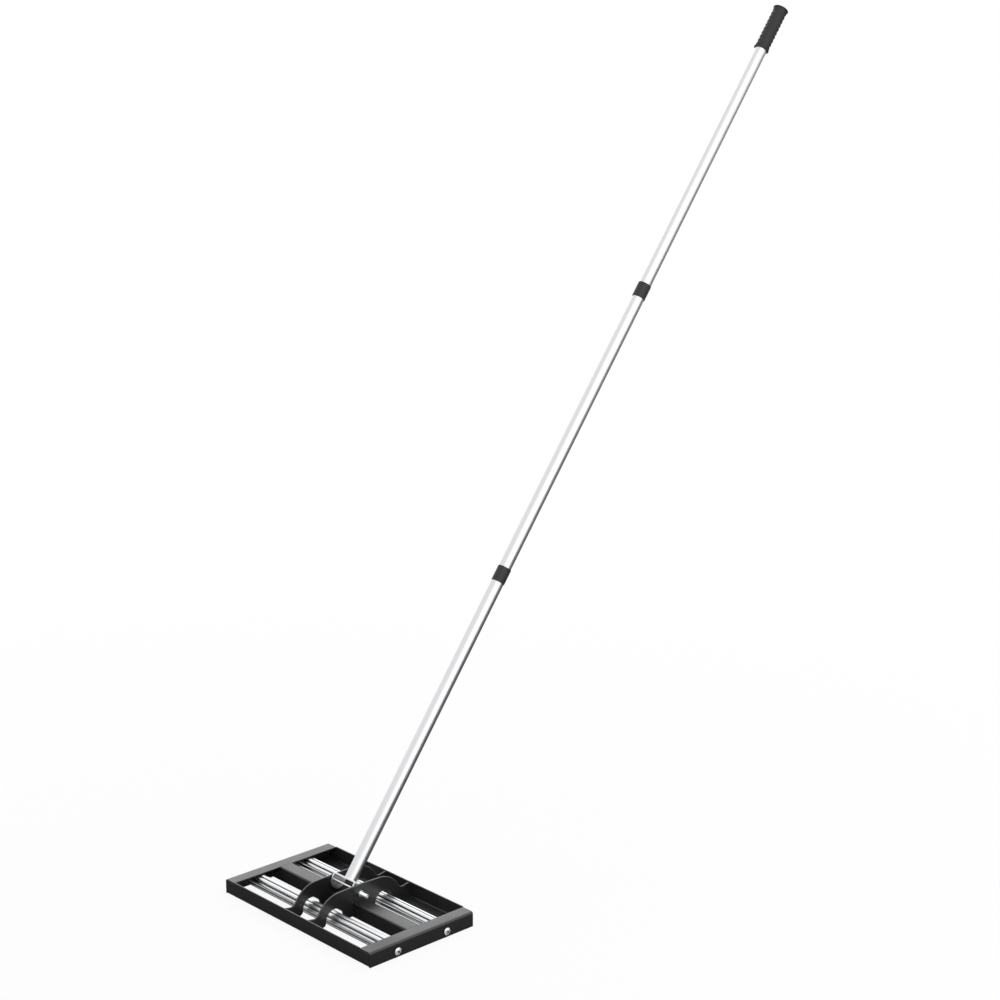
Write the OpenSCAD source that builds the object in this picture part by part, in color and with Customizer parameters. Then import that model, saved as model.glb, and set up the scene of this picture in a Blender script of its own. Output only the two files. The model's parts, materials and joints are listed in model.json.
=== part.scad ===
// Lawn leveling rake: an open welded head that runs on two fluted rollers,
// and a long sectional handle on a yoke that swings between two arch plates.
// Millimetres. The origin is the middle of the head, on the underside of its frame.
// X runs along the head, Y from front to rear, Z is up.

/* [Head frame] */
// Length of the head over its end angles
head_l = 430; // [390:1:480]
// Width of the head over its front and rear angles
head_w = 250; // [236:1:280]
// Height of the frame, underside to the tops of the end flanges
frame_h = 29.5; // [28:0.5:34]
// Width of an angle's flange
flange_w = 27.5; // [22:0.5:32]
// Sheet thickness of the angles
angle_t = 2.5; // [2:0.1:3]
// Outer bend radius of the angles
angle_bend_r = 5; // [4.5:0.1:7]
// Set-back of an end angle's cut ends behind the faces of the front and rear angles
angle_setback = 1; // [0.5:0.1:1.5]
// Height of the front and rear angles above the end flanges, between these
long_rise = 1; // [0.5:0.1:1.5]
// Width of the middle bar
bar_w = 30; // [26:1:34]
// Wall of the middle bar
bar_wall = 2; // [1.5:0.1:2.5]
// Outer corner radius of the middle bar
bar_corner_r = 3; // [2.6:0.1:4]

/* [Rollers] */
// Diameter of a roller over its flutes
roller_d = 29.6; // [28:0.1:31]
// Distance between the two roller axes
roller_spacing = 118; // [114:1:124]
// Number of round flutes on a roller
roller_flutes = 8; // [7:1:9]
// Radius of one flute
flute_r = 4.6; // [4.3:0.1:5]
// Turn of the front roller at rest, from a groove on top towards the front
front_roller_turn = 16; // [-22:1:22]
// Turn of the rear roller at rest, from a groove on top towards the front
rear_roller_turn = -7; // [-22:1:22]
// Wall of the roller tube
roller_wall = 1; // [0.8:0.1:1.2]
// Gap between a roller and the flanges over it
roller_flange_gap = 0.7; // [0.5:0.1:1]
// Thickness of the flange of a roller's end bush
bush_flange_t = 1.5; // [1:0.1:2.5]
// Diameter of the flange of a roller's end bush
bush_flange_d = 24; // [22:0.5:25]
// Length of the bush inside the tube
bush_plug_l = 16; // [12:1:24]
// Diameter of the bush nose that turns in the angle's web
bush_nose_d = 10; // [9:0.5:11]
// Diameter of a roller washer
roller_washer_d = 17; // [16:0.5:19]
// Thickness of a roller washer
roller_washer_t = 1; // [0.8:0.1:1.5]
// Shank diameter of an axle screw
axle_screw_d = 5; // [4:0.5:6]
// Shank length of an axle screw
axle_screw_l = 18; // [14:1:20]
// Head diameter of an axle screw
axle_head_d = 14.5; // [13:0.5:15.5]
// Head height of an axle screw
axle_head_h = 3; // [2.5:0.1:3.6]

/* [Arch plates] */
// Thickness of an arch plate
arch_t = 3; // [2.5:0.1:4]
// Height of an arch plate above the pivot
arch_over_pivot = 16.5; // [14:0.5:19]
// Radius of the wide crown of an arch plate
arch_crown_r = 1150; // [900:10:1400]
// Radius of the shoulders of an arch plate
arch_shoulder_r = 55; // [52:1:58]
// Distance of a shoulder's centre from the angle that the arch ends on
arch_shoulder_in = 74.5; // [72:0.5:77]
// Radius of the valley at each foot of an arch plate
arch_valley_r = 12; // [10:0.5:14]
// Depth of the valley below the tops of the end flanges
arch_valley_drop = 2.8; // [2:0.1:3.6]
// Radius of the corners at the mouths of the roller notches
arch_foot_r = 8; // [6:0.5:9]
// Gap between a roller and the notch round it
notch_gap = 5.2; // [4:0.1:6]

/* [Pivot] */
// Height of the pivot above the top of the frame
pivot_rise = 16.5; // [16:0.1:19]
// Diameter of a pivot stud
stud_d = 8; // [7:0.5:9]
// Length of a stud past its nut
stud_stub_l = 18; // [12:1:22]
// Diameter of the centre drilling in a stud's ends
stud_centre_d = 3.5; // [2.5:0.1:4]
// Width across flats of a pivot nut
nut_af = 11; // [10.5:0.5:13]
// Height of a pivot nut
nut_h = 5; // [4:0.5:7]
// Diameter of a spacer washer between a yoke leg and its arch plate
spacer_d = 17; // [15:0.5:19]
// Thickness of a spacer washer
spacer_t = 1.3; // [1:0.1:2]

/* [Yoke] */
// Width of the yoke over its legs
yoke_w = 62.8; // [58:0.2:68]
// Width of the flat bar that the yoke is bent from
yoke_bar_w = 34.5; // [33:0.1:35]
// Thickness of the yoke's flat bar
yoke_t = 3; // [2.5:0.1:3.5]
// Outer bend radius of the yoke
yoke_bend_r = 4; // [3.8:0.1:5]
// Distance of the yoke's top face from the pivot
yoke_top_u = 15; // [14:0.1:17]
// Clear height of the window between the yoke's top and its brace
yoke_window_h = 8.4; // [7:0.1:8.6]
// Distance of the legs' round-end centre from the pivot
yoke_round_u = 4.6; // [3.5:0.1:5]

/* [Handle] */
// Angle of the handle above the horizontal
handle_tilt = 53.2; // [20:0.1:160]
// Distance of the grip's end from the pivot
handle_l = 1981; // [1700:1:2200]
// Distance of the lower joint from the pivot
lower_joint_u = 662; // [550:1:750]
// Distance of the upper joint from the pivot
upper_joint_u = 1303; // [1100:1:1450]
// Outer diameter of the handle tubes
tube_d = 25; // [22:0.5:28]
// Wall of the handle tubes
tube_wall = 1.2; // [0.8:0.1:1.5]
// Length of a joint spigot
spigot_l = 80; // [60:1:120]
// Wall of a joint spigot
spigot_wall = 2; // [1.5:0.1:3]
// Length of a joint sleeve
sleeve_l = 32; // [28:1:44]
// Wall of a joint sleeve
sleeve_wall = 1.1; // [0.9:0.1:1.6]
// Edge radius of a joint sleeve
sleeve_edge_r = 0.6; // [0.4:0.1:0.8]

/* [Grip] */
// Length of the hand grip
grip_l = 100; // [90:1:130]
// Wall of the hand grip
grip_wall = 1.5; // [1.2:0.1:2]
// Thickness of the closed end of the grip
grip_end_t = 4; // [3:0.5:6]
// Diameter of the rims at the grip's ends
grip_rim_d = 32.5; // [31:0.1:34]
// Width of a grip rim
grip_rim_w = 3; // [2.4:0.1:4]
// Number of ribs along each side of the grip
grip_ribs = 10; // [8:1:12]
// Radius of a rib's round section
grip_rib_r = 2.2; // [1.8:0.1:2.4]
// Height that a rib stands above the grip's wall
grip_rib_h = 0.9; // [0.6:0.1:1.1]
// Height that the smooth panels between the rows of ribs stand above the grip's wall
grip_panel_h = 1.1; // [0.8:0.1:1.3]
// Half angle of the smooth panels
grip_panel_a = 30; // [20:1:40]
// Turn of a smooth panel round the handle, from the front
grip_turn = 45; // [0:1:90]

/* [Hidden] */
$fn = 96;

// Clearances
running_gap = 0.05; // a bush or stud that turns in its hole, on the radius
free_gap = 0.3;     // faces of different moving bodies
seat_gap = 0.05;    // a piece pushed into or over another, on the radius
edge_gap = 0.5;     // a raised or rounded edge to the flange or bend beside it
overrun = 1;        // how far a cut runs past the face that it opens

// Frame places
web_out_x = head_l / 2;
web_in_x = web_out_x - angle_t;
flange_in_x = web_out_x - flange_w;
flange_under_z = frame_h - angle_t;
long_out_y = head_w / 2;
long_in_y = long_out_y - angle_t;
angle_l = head_w - 2 * angle_setback;
angle_in_r = angle_bend_r - angle_t;

// Roller places
roller_r = roller_d / 2;
roller_y = roller_spacing / 2;
roller_z = flange_under_z - roller_flange_gap - roller_r;
flute_c = roller_r - flute_r;
groove_half = flute_c * sin(180 / roller_flutes);
groove_r = flute_c * cos(180 / roller_flutes) + sqrt(pow(flute_r, 2) - pow(groove_half, 2));
roller_bore_r = groove_r - roller_wall;
bush_face_x = web_in_x - free_gap;
roller_end_x = bush_face_x - bush_flange_t;
bush_nose_x = web_out_x + free_gap;
axle_head_x = bush_nose_x + roller_washer_t;

// Pivot places
pivot_z = frame_h + pivot_rise;
yoke_out_x = yoke_w / 2;
yoke_in_x = yoke_out_x - yoke_t;
arch_in_x = yoke_out_x + spacer_t + free_gap;
arch_out_x = arch_in_x + arch_t;
nut_x = arch_out_x + free_gap;
stud_end_x = nut_x + nut_h + stud_stub_l;
nut_sides = 6;
nut_corner_r = nut_af / 2 / cos(180 / nut_sides);

// Yoke places, measured along the handle from the pivot
window_top_u = yoke_top_u - yoke_t;
brace_top_u = window_top_u - yoke_window_h;

// Arch outline: crown, shoulder and valley arcs meet tangentially
notch_r = roller_r + notch_gap;
arch_base_z = angle_t;
arch_top_z = pivot_z + arch_over_pivot;
crown_c = [0, arch_top_z - arch_crown_r];
shoulder_y = long_in_y - arch_shoulder_in;
shoulder_c = [shoulder_y, crown_c.y + sqrt(pow(arch_crown_r - arch_shoulder_r, 2) - pow(shoulder_y, 2))];
valley_z = frame_h - arch_valley_drop + arch_valley_r;
shoulder_valley_d = arch_shoulder_r + arch_valley_r;
valley_c = [shoulder_y + sqrt(pow(shoulder_valley_d, 2) - pow(valley_z - shoulder_c.y, 2)), valley_z];
shoulder_end = shoulder_c + (valley_c - shoulder_c) * arch_shoulder_r / shoulder_valley_d;
crown_end_y = shoulder_y * arch_crown_r / (arch_crown_r - arch_shoulder_r);
arch_end = [long_in_y, frame_h];
valley_to_end = arch_end - valley_c;
valley_end_a = atan2(valley_to_end.y, valley_to_end.x) - acos(arch_valley_r / norm(valley_to_end));
valley_end = valley_c + arch_valley_r * [cos(valley_end_a), sin(valley_end_a)];

// Handle places, measured along the handle from the pivot
tube_r = tube_d / 2;
tube_bore_r = tube_r - tube_wall;
sleeve_bore_r = tube_r + seat_gap;
sleeve_r = sleeve_bore_r + sleeve_wall;
spigot_r = tube_bore_r - seat_gap;
grip_r = sleeve_bore_r + grip_wall;
grip_start_u = handle_l - grip_l;
upper_tube_end_u = handle_l - grip_end_t;
rib_pitch = (grip_l - 2 * grip_rim_w) / grip_ribs;

// Colours
paint = [0.13, 0.13, 0.14];
bright = [0.86, 0.87, 0.89];
plated = [0.78, 0.80, 0.83];
steel_tube = [0.88, 0.88, 0.90];
black_plastic = [0.10, 0.10, 0.11];
grip_black = [0.20, 0.20, 0.21];

// Turns a flat outline drawn in Y and Z into a solid of the given length along X
module along_x(length) {
    rotate([90, 0, 90]) linear_extrude(length) children();
}

// Turns a flat outline drawn in X and Z into a solid centred on Y
module across_y(length) {
    rotate([90, 0, 0]) linear_extrude(length, center = true) children();
}

// A round bar from the middle plane outwards along X
module rod_x(x0, x1, r) {
    translate([x0, 0, 0]) rotate([0, 90, 0]) cylinder(h = x1 - x0, r = r);
}

// Draws its children on the right and mirrored on the left
module both_ends() {
    children();
    mirror([1, 0, 0]) children();
}

// Places its children on the pivot, with their Z along the handle
module on_handle() {
    translate([0, 0, pivot_z]) rotate([handle_tilt - 90, 0, 0]) children();
}

// Places its children on a roller's axis
module on_roller(y) {
    translate([0, y, roller_z]) children();
}

// A square corner less a quarter disc: cuts a round on a corner
module corner_cut(r) {
    difference() {
        translate([-overrun, -overrun]) square(r + overrun);
        translate([r, r]) circle(r);
    }
}

// Flat outline of a box with round corners, centred on X, standing on Y = 0
module round_box(w, h, r) {
    translate([-w / 2 + r, 0]) square([w - 2 * r, h]);
    translate([-w / 2, r]) square([w, h - 2 * r]);
    for (x = [-1, 1], y = [r, h - r]) {
        translate([x * (w / 2 - r), y]) circle(r);
    }
}

// Flat outline of a box with round upper corners, centred on X, standing on Y = 0
module round_top(w, h, r) {
    translate([-w / 2, 0]) square([w, h - r]);
    translate([-w / 2 + r, 0]) square([w - 2 * r, h]);
    for (side = [-1, 1]) {
        translate([side * (w / 2 - r), h - r]) circle(r);
    }
}

// Flat outline of a box with one round corner, at the origin
module bend_box(w, h, r) {
    difference() {
        square([w, h]);
        corner_cut(r);
    }
}

// Flat outline of a bent sheet, its outer corner at the origin
module angle_outline(w, h) {
    difference() {
        bend_box(w, h, angle_bend_r);
        translate([angle_t, angle_t]) bend_box(w, h, angle_in_r);
    }
}

// Flat outline of the room between the end angles, in X and Z, raised between their flanges
module room_outline(raised_x, raised_z) {
    translate([-raised_x, 0]) square([2 * raised_x, raised_z]);
    translate([0, -overrun]) round_top(2 * web_in_x, flange_under_z + overrun, angle_in_r);
}

// Front and rear angles: flange inwards at the bottom, the web lowered under the end flanges
module long_angle() {
    color(paint) intersection() {
        translate([-web_out_x, long_out_y, 0]) along_x(head_l) mirror([1, 0])
            angle_outline(flange_w, frame_h + long_rise);
        across_y(head_w + 2 * overrun) room_outline(flange_in_x - edge_gap, frame_h + long_rise);
    }
}

module rear_angle() {
    long_angle();
}

module front_angle() {
    mirror([0, 1, 0]) long_angle();
}

// End angle: web outside and flange inwards on top
module end_angle() {
    color(paint) difference() {
        across_y(angle_l) translate([web_out_x, frame_h]) rotate(180) angle_outline(flange_w, frame_h);
        for (y = [-roller_y, roller_y]) {
            on_roller(y) rod_x(web_in_x - overrun, web_out_x + overrun, bush_nose_d / 2 + running_gap);
        }
    }
}

module right_end_angle() {
    end_angle();
}

module left_end_angle() {
    mirror([1, 0, 0]) end_angle();
}

// Middle bar: a square tube from web to web, coped where it passes under the flanges
module bar_outline() {
    difference() {
        round_box(bar_w, frame_h, bar_corner_r);
        translate([0, bar_wall])
            round_box(bar_w - 2 * bar_wall, frame_h - 2 * bar_wall, bar_corner_r - bar_wall);
    }
}

module middle_bar() {
    color(paint) intersection() {
        translate([-web_out_x, 0, 0]) along_x(head_l) bar_outline();
        across_y(bar_w + 2 * overrun) room_outline(flange_in_x, frame_h + overrun);
    }
}

// Arch plate: crown and shoulders over the bar, feet on the flanges of the front and rear angles
module arch_half() {
    intersection() {
        translate(crown_c) circle(arch_crown_r, $fn = 720);
        square([crown_end_y, arch_top_z]);
    }
    intersection() {
        translate(shoulder_c) circle(arch_shoulder_r);
        square([shoulder_end.x, arch_top_z]);
    }
    difference() {
        polygon([[0, 0], [long_in_y, 0], arch_end, valley_end, valley_c, shoulder_end]);
        translate(valley_c) circle(arch_valley_r);
    }
}

module roller_notch() {
    translate([roller_y, roller_z]) circle(notch_r);
    translate([roller_y - notch_r, -overrun]) square([2 * notch_r, roller_z + overrun]);
    for (side = [0, 1]) {
        translate([roller_y, arch_base_z]) mirror([side, 0])
            translate([notch_r, 0]) corner_cut(arch_foot_r);
    }
}

// The foot's underside, and its corner clear of the bend that it stands in
module foot_cut() {
    translate([-overrun, -overrun]) square([long_in_y + 2 * overrun, arch_base_z + overrun]);
    translate([long_in_y, arch_base_z]) mirror([1, 0]) corner_cut(angle_in_r + edge_gap);
}

module arch_outline() {
    difference() {
        for (side = [0, 1]) {
            mirror([side, 0]) arch_half();
        }
        for (side = [0, 1]) {
            mirror([side, 0]) roller_notch();
            mirror([side, 0]) foot_cut();
        }
        translate([-bar_w / 2, -overrun]) square([bar_w, frame_h + overrun]);
        translate([0, pivot_z]) circle(stud_d / 2 + running_gap);
    }
}

module arch_plate() {
    color(paint) translate([arch_in_x, 0, 0]) along_x(arch_t) arch_outline();
}

module right_arch_plate() {
    arch_plate();
}

module left_arch_plate() {
    mirror([1, 0, 0]) arch_plate();
}

// Roller tube: round flutes on a circle, hollow
module flutes(r) {
    for (i = [0 : roller_flutes - 1]) {
        rotate((i + 1 / 2) * 360 / roller_flutes) translate([flute_c, 0]) circle(r, $fn = 48);
    }
}

module roller_outline() {
    difference() {
        union() {
            circle(groove_r);
            flutes(flute_r);
        }
        circle(roller_bore_r);
        flutes(flute_r - roller_wall);
    }
}

module roller_tube(y, turn) {
    color(bright) on_roller(y) translate([-roller_end_x, 0, 0])
        along_x(2 * roller_end_x) rotate(turn) roller_outline();
}

// End bush: plug in the tube, flange against the web, nose through the web
module roller_bushes(y) {
    color(black_plastic) on_roller(y) both_ends() difference() {
        union() {
            rod_x(roller_end_x - bush_plug_l, roller_end_x, roller_bore_r - seat_gap);
            rod_x(roller_end_x, bush_face_x, bush_flange_d / 2);
            rod_x(bush_face_x, bush_nose_x, bush_nose_d / 2);
        }
        rod_x(roller_end_x - bush_plug_l - overrun, bush_nose_x + overrun, axle_screw_d / 2 + seat_gap);
    }
}

module roller_washers(y) {
    color(black_plastic) on_roller(y) both_ends() difference() {
        rod_x(bush_nose_x, axle_head_x, roller_washer_d / 2);
        rod_x(bush_nose_x - overrun, axle_head_x + overrun, axle_screw_d / 2 + seat_gap);
    }
}

// Axle screw: a domed head with a cross recess, and a plain shank
module axle_head_outline() {
    dome_r = (pow(axle_head_d / 2, 2) + pow(axle_head_h, 2)) / (2 * axle_head_h);
    intersection() {
        square([axle_head_d / 2, axle_head_h]);
        translate([0, axle_head_h - dome_r]) circle(dome_r);
    }
}

module axle_recess() {
    recess_l = axle_head_d / 2;
    recess_w = recess_l / 4;
    recess_depth = axle_head_h / 2;
    translate([axle_head_x + axle_head_h - recess_depth, 0, 0]) for (turn = [0, 90]) {
        rotate([turn + 45, 0, 0]) translate([0, -recess_l / 2, -recess_w / 2])
            cube([recess_depth + overrun, recess_l, recess_w]);
    }
}

module roller_screws(y) {
    color(plated) on_roller(y) both_ends() difference() {
        union() {
            rod_x(axle_head_x - axle_screw_l, axle_head_x, axle_screw_d / 2);
            translate([axle_head_x, 0, 0]) rotate([0, 90, 0]) rotate_extrude() axle_head_outline();
        }
        axle_recess();
    }
}

module front_roller_tube() {
    roller_tube(-roller_y, front_roller_turn);
}

module front_roller_bushes() {
    roller_bushes(-roller_y);
}

module front_roller_washers() {
    roller_washers(-roller_y);
}

module front_roller_screws() {
    roller_screws(-roller_y);
}

module rear_roller_tube() {
    roller_tube(roller_y, rear_roller_turn);
}

module rear_roller_bushes() {
    roller_bushes(roller_y);
}

module rear_roller_washers() {
    roller_washers(roller_y);
}

module rear_roller_screws() {
    roller_screws(roller_y);
}

// Yoke strap: flat bar bent to an inverted U, its legs rounded at the ends
module strap_front_outline() {
    translate([0, -yoke_bar_w]) difference() {
        round_top(yoke_w, yoke_bar_w + yoke_top_u, yoke_bend_r);
        translate([0, -overrun])
            round_top(2 * yoke_in_x, yoke_bar_w + window_top_u + overrun, yoke_bend_r - yoke_t);
    }
}

module leg_outline() {
    translate([0, yoke_round_u]) circle(yoke_bar_w / 2);
    translate([-yoke_bar_w / 2, yoke_round_u]) square([yoke_bar_w, yoke_top_u - yoke_round_u]);
}

module yoke_strap() {
    color(plated) on_handle() difference() {
        intersection() {
            across_y(yoke_bar_w) strap_front_outline();
            translate([-yoke_out_x, 0, 0]) along_x(yoke_w) leg_outline();
        }
        both_ends() rod_x(yoke_in_x - overrun, yoke_out_x + overrun, stud_d / 2 + seat_gap);
    }
}

// Yoke brace: a cross strip between the legs, below the window
module yoke_brace() {
    color(plated) on_handle() intersection() {
        translate([-yoke_in_x, -yoke_bar_w / 2, brace_top_u - yoke_t])
            cube([2 * yoke_in_x, yoke_bar_w, yoke_t]);
        translate([-yoke_in_x, 0, 0]) along_x(2 * yoke_in_x) leg_outline();
    }
}

// Pivot studs, fast in the legs, with spacers inside and nuts outside the arch plates
module stud_centre() {
    cylinder(h = stud_centre_d / 2, r1 = stud_centre_d / 2, r2 = 0);
}

module pivot_studs() {
    color(plated) on_handle() both_ends() difference() {
        rod_x(yoke_in_x, stud_end_x, stud_d / 2);
        translate([yoke_in_x, 0, 0]) rotate([0, 90, 0]) stud_centre();
        translate([stud_end_x, 0, 0]) rotate([0, -90, 0]) stud_centre();
    }
}

module pivot_spacers() {
    color(plated) on_handle() both_ends() difference() {
        rod_x(yoke_out_x, yoke_out_x + spacer_t, spacer_d / 2);
        rod_x(yoke_out_x - overrun, yoke_out_x + spacer_t + overrun, stud_d / 2 + seat_gap);
    }
}

module nut_round() {
    chamfer = (nut_corner_r - nut_af / 2) / 2;
    rotate_extrude() polygon([
        [0, 0], [nut_af / 2, 0], [nut_corner_r, chamfer],
        [nut_corner_r, nut_h - chamfer], [nut_af / 2, nut_h], [0, nut_h]
    ]);
}

module pivot_nuts() {
    color(plated) on_handle() both_ends() translate([nut_x, 0, 0]) rotate([0, 90, 0]) difference() {
        intersection() {
            cylinder(h = nut_h, r = nut_corner_r, $fn = nut_sides);
            nut_round();
        }
        translate([0, 0, -overrun]) cylinder(h = nut_h + 2 * overrun, r = stud_d / 2 + seat_gap);
    }
}

// A hollow round piece on the handle's axis, from one distance to another
module handle_ring(u0, u1, r_out, r_in) {
    on_handle() translate([0, 0, u0]) difference() {
        cylinder(h = u1 - u0, r = r_out);
        translate([0, 0, -overrun]) cylinder(h = u1 - u0 + 2 * overrun, r = r_in);
    }
}

module lower_tube() {
    color(steel_tube) handle_ring(yoke_top_u, lower_joint_u, tube_r, tube_bore_r);
}

module middle_tube() {
    color(steel_tube) handle_ring(lower_joint_u, upper_joint_u, tube_r, tube_bore_r);
}

module upper_tube() {
    color(steel_tube) handle_ring(upper_joint_u, upper_tube_end_u, tube_r, tube_bore_r);
}

// Joint spigots inside the tubes, and the sleeves that cover the joints
module joint_spigot(u) {
    color(plated) handle_ring(u - spigot_l / 2, u + spigot_l / 2, spigot_r, spigot_r - spigot_wall);
}

module lower_joint_spigot() {
    joint_spigot(lower_joint_u);
}

module upper_joint_spigot() {
    joint_spigot(upper_joint_u);
}

module sleeve_outline() {
    straight_l = sleeve_l - 2 * sleeve_edge_r;
    translate([sleeve_bore_r, 0]) square([sleeve_wall - sleeve_edge_r, sleeve_l]);
    translate([sleeve_bore_r, sleeve_edge_r]) square([sleeve_wall, straight_l]);
    for (u = [sleeve_edge_r, sleeve_l - sleeve_edge_r]) {
        translate([sleeve_r - sleeve_edge_r, u]) circle(sleeve_edge_r, $fn = 32);
    }
}

module joint_sleeve(u) {
    color(black_plastic) on_handle() translate([0, 0, u - sleeve_l / 2]) rotate_extrude() sleeve_outline();
}

module lower_joint_sleeve() {
    joint_sleeve(lower_joint_u);
}

module upper_joint_sleeve() {
    joint_sleeve(upper_joint_u);
}

// Hand grip: a closed sleeve with a rim at each end, smooth panels and rows of ribs between these
module grip_outline() {
    rim_r = grip_rim_w / 2;
    square([grip_r, grip_l]);
    for (u = [rim_r, grip_l - rim_r]) {
        translate([grip_rim_d / 2 - rim_r, u]) circle(rim_r, $fn = 32);
        translate([0, u - rim_r]) square([grip_rim_d / 2 - rim_r, grip_rim_w]);
    }
}

// A row of ribs, their ends inside the panels
module grip_rib_row() {
    rib_start_a = grip_panel_a / 2;
    for (i = [0 : grip_ribs - 1]) {
        translate([0, 0, grip_rim_w + (i + 1 / 2) * rib_pitch]) rotate([0, 0, rib_start_a])
            rotate_extrude(angle = 180 - 2 * rib_start_a)
                translate([grip_r + grip_rib_h - grip_rib_r, 0]) circle(grip_rib_r, $fn = 32);
    }
}

module grip_panel() {
    rotate([0, 0, -grip_panel_a]) rotate_extrude(angle = 2 * grip_panel_a)
        translate([sleeve_bore_r, grip_rim_w / 2]) square([grip_wall + grip_panel_h, grip_l - grip_rim_w]);
}

module hand_grip() {
    color(grip_black) on_handle() translate([0, 0, grip_start_u]) difference() {
        union() {
            rotate_extrude() grip_outline();
            for (side = [0, 180]) {
                rotate([0, 0, side + grip_turn - 90]) grip_rib_row();
                rotate([0, 0, side + grip_turn - 90]) grip_panel();
            }
        }
        translate([0, 0, -overrun])
            cylinder(h = grip_l - grip_end_t + overrun, r = sleeve_bore_r);
    }
}

front_angle();
rear_angle();
left_end_angle();
right_end_angle();
middle_bar();
left_arch_plate();
right_arch_plate();
front_roller_tube();
front_roller_bushes();
front_roller_washers();
front_roller_screws();
rear_roller_tube();
rear_roller_bushes();
rear_roller_washers();
rear_roller_screws();
yoke_strap();
yoke_brace();
pivot_studs();
pivot_spacers();
pivot_nuts();
lower_tube();
lower_joint_spigot();
lower_joint_sleeve();
middle_tube();
upper_joint_spigot();
upper_joint_sleeve();
upper_tube();
hand_grip();
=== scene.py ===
"""Looks of the lawn leveling rake: finishes, rounded plate edges, stud threads, weld beads and the studio."""

import json
import math

import bpy
from mathutils import Matrix, Vector

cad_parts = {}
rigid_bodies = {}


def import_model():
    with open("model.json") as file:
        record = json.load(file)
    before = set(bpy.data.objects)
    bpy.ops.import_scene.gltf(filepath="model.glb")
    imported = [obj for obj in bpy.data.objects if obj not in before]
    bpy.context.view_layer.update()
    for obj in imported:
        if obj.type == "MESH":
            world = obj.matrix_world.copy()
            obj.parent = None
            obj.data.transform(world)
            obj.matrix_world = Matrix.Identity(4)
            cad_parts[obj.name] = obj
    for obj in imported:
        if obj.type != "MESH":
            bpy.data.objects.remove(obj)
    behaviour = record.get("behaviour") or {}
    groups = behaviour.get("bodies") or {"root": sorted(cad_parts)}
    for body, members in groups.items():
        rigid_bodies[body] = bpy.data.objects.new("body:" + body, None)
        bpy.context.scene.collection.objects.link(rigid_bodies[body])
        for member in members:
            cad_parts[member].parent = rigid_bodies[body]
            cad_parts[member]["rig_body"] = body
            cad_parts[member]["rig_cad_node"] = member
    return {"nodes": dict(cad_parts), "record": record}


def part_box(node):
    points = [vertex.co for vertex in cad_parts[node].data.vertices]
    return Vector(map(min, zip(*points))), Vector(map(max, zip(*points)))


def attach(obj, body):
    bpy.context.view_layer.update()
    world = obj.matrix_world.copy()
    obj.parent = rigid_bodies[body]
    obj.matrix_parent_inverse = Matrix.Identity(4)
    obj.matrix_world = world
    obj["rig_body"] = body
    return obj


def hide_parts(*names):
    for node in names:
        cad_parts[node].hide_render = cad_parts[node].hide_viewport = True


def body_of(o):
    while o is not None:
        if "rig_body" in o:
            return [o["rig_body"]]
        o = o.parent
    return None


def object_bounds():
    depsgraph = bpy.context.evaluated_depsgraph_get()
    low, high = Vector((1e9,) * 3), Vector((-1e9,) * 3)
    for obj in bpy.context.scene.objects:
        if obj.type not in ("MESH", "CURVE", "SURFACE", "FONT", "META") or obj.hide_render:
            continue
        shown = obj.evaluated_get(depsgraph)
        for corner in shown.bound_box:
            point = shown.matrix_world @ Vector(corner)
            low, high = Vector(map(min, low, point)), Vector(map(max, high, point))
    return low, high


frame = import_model()
cad_low, cad_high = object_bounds()

MM = 0.001
RIGHT_ANGLE = math.radians(90)
joints = {joint["name"]: joint for joint in frame["record"]["behaviour"]["joints"]}
pivot = Vector(joints["head_pivot"]["pos_m"])
roller_axis = Vector(joints["rear_roller_turn"]["pos_m"])
grip_mount = next(mount for mount in frame["record"]["mounts"] if mount["name"] == "hand_grip")
handle_axis = Vector(grip_mount["axis"]).normalized()
handle_turn = Vector((0, 0, 1)).rotation_difference(handle_axis)
on_handle = Matrix.Translation(pivot) @ handle_turn.to_matrix().to_4x4()

# Camera
CAMERA_PLACE = (2.89816, -2.31820, 1.74533)
CAMERA_AZIMUTH = math.radians(46.906)
CAMERA_ELEVATION = math.radians(14.393)
CAMERA_LENS_MM = 76.80
SENSOR_MM = 36.0

# Studio: a softbox's level is how bright it looks, and one is white
FLOOR_RADIUS = 60.0
FLOOR_SIDES = 96
FLOOR_TONE = (0.92, 0.92, 0.92, 1.0)
FLOOR_CLEAR_SHARE = 0.92
SHADOW_NEAR_R = 0.4
SHADOW_FAR_R = 2.4
WHITE = (1.0, 1.0, 1.0, 1.0)
AMBIENT_LEVEL = 0.55
SOFTBOXES = {
    "overhead_softbox": {"place": (-1.2, 3.4, 5.2), "size": 3.6, "level": 1.8},
    "key_softbox": {"place": (2.6, -1.1, 3.3), "size": 4.2, "level": 0.42},
    "right_softbox": {"place": (4.0, 0.35, 2.45), "size": 5.4, "level": 0.53},
    "back_softbox": {"place": (-3.4, 2.7, 2.3), "size": 2.2, "level": 1.15},
}

# Dark card that only gloss shows, painted shade and a dark surround in reflections: its reach round the head
# and behind it, and its tone near and far
CARD_MARGIN = 0.3
CARD_RIGHT_MARGIN = 1.0
CARD_REAR_Y = 15.0
CARD_REAR_W = 54.0
CARD_REAR_X = 18.0
CARD_LIFT = 0.2 * MM
CARD_NEAR_SHADE_TONE = 0.12
CARD_FAR_SHADE_TONE = 0.5
CARD_NEAR_R = 1.5
CARD_FAR_R = 8.0

# How far the card comes forward from under each roller's axis, as painted shade of the roller on the floor in
# reflections
FRONT_SHADE_Y = 25.0 * MM
REAR_SHADE_Y = 17.0 * MM

# Usual range of a noise
NOISE_LOW = 0.3
NOISE_HIGH = 0.7

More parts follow.
